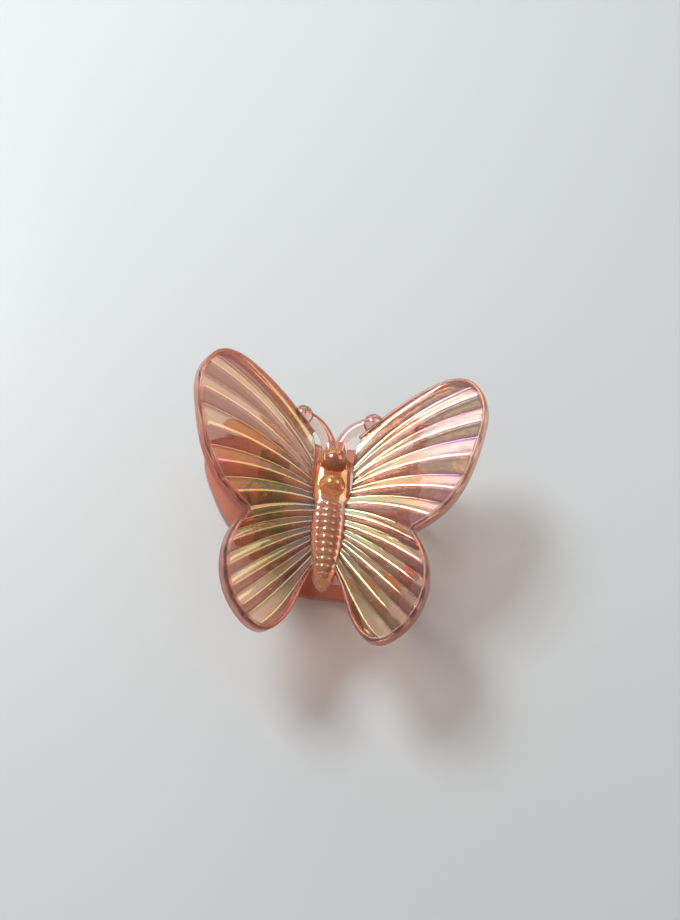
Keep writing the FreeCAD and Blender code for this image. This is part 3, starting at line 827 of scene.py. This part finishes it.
# each leg starts on the coil, which stays with the butterfly, and runs out along the thumb tab
for word, hand in (("rear", -1), ("front", 1)):
    leg_points = outer_leg(hand)
    leg = wire_mesh("spring_leg_" + word, leg_points)
    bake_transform(leg)
    paint(leg, steel_mat)

softened("comb_jaw_moulded", "lower_jaw", "comb_jaw", 0.28, jaw_mat)
softened("front_lug_moulded", "front_hinge_lug", "butterfly", 0.2, jaw_mat)
softened("rear_lug_moulded", "rear_hinge_lug", "butterfly", 0.2, jaw_mat)
paint(nodes["hinge_pin"], steel_mat)

# floor
floor_verts = [(-600, -600, 0), (600, -600, 0), (600, 900, 0), (-600, 900, 0)]
floor = make_mesh("floor", floor_verts, [(0, 1, 2, 3)], smooth=False)
floor_mat = bpy.data.materials.new("floor_look")
floor_mat.use_nodes = True
floor_bsdf = floor_mat.node_tree.nodes["Principled BSDF"]
for socket, value in (("Base Color", (0.625, 0.66, 0.665, 1)), ("Roughness", 0.3), ("IOR", 1.35)):
    floor_bsdf.inputs[socket].default_value = value
paint(floor, floor_mat)

# light: a soft room, brighter towards the back and the left, and three soft lamps
room = bpy.data.worlds.new("soft_room")
bpy.context.scene.world = room
room.use_nodes = True
sky = room.node_tree
background = sky.nodes["Background"]
background.inputs["Strength"].default_value = 0.55
sky_parts = node(sky, "SeparateXYZ")
sky.links.new(node(sky, "TexCoord").outputs["Generated"], sky_parts.inputs[0])
lean = combined(sky, sky_parts.outputs["Y"], combined(sky, sky_parts.outputs["X"], -0.5, "MULTIPLY"))
sky_colour = two_tone(sky, mapped(sky, lean, -1.0, 1.0, 0.0, 1.0),
                      (0.1, (0.42, 0.40, 0.40)), (0.9, (1.0, 1.0, 0.98)))
sky.links.new(sky_colour, background.inputs["Color"])

AIM = Vector((0, 2, 8))


def lamp_from(name, direction, distance, size, power, size_y=None):
    """A rectangular lamp of that size, which shines on the clip from a direction."""
    data = bpy.data.lights.new(name, "AREA")
    data.shape = "RECTANGLE"
    data.size = size * MM
    data.size_y = (size_y or size) * MM
    data.energy = power
    lamp = bpy.data.objects.new(name, data)
    bpy.context.scene.collection.objects.link(lamp)
    toward_lamp = Vector(direction).normalized()
    lamp.location = (AIM + distance * toward_lamp) * MM
    lamp.rotation_euler = (-toward_lamp).to_track_quat("-Z", "Y").to_euler()
    return lamp


lamp_from("key", (-0.51, 0.43, 0.74), 320, 100, 0.84)
lamp_from("backdrop", (-0.40, 0.85, 0.36), 420, 420, 0.32, size_y=150)
fill = lamp_from("fill", (0.66, 0.35, 0.68), 320, 170, 0.22)
fill.visible_diffuse = False

# camera: above and in front, a little to the left, turned about its own axis
AZIMUTH, ELEVATION, ROLL = math.radians(-11.7), math.radians(67.9), math.radians(17.9)
TARGET = Vector((0.76, 6.17, 11.3))
CAMERA_DISTANCE = 190
toward = Vector((math.sin(AZIMUTH) * math.cos(ELEVATION),
                 -math.cos(AZIMUTH) * math.cos(ELEVATION), math.sin(ELEVATION)))
level_right = (-toward).cross(Vector((0, 0, 1))).normalized()
level_up = level_right.cross(-toward)
right = math.cos(ROLL) * level_right + math.sin(ROLL) * level_up
up = -math.sin(ROLL) * level_right + math.cos(ROLL) * level_up
camera_data = bpy.data.cameras.new("camera")
camera_data.sensor_fit = "HORIZONTAL"
camera_data.sensor_width = 36
camera_data.lens = 83.8
camera_data.clip_start = 0.01
camera = bpy.data.objects.new("camera", camera_data)
bpy.context.scene.collection.objects.link(camera)
camera_place = (TARGET + CAMERA_DISTANCE * toward) * MM
turned = Matrix((right, up, toward)).transposed().to_4x4()
camera.matrix_world = Matrix.Translation(camera_place) @ turned
bpy.context.scene.camera = camera
bpy.context.scene.view_settings.view_transform = "Standard"
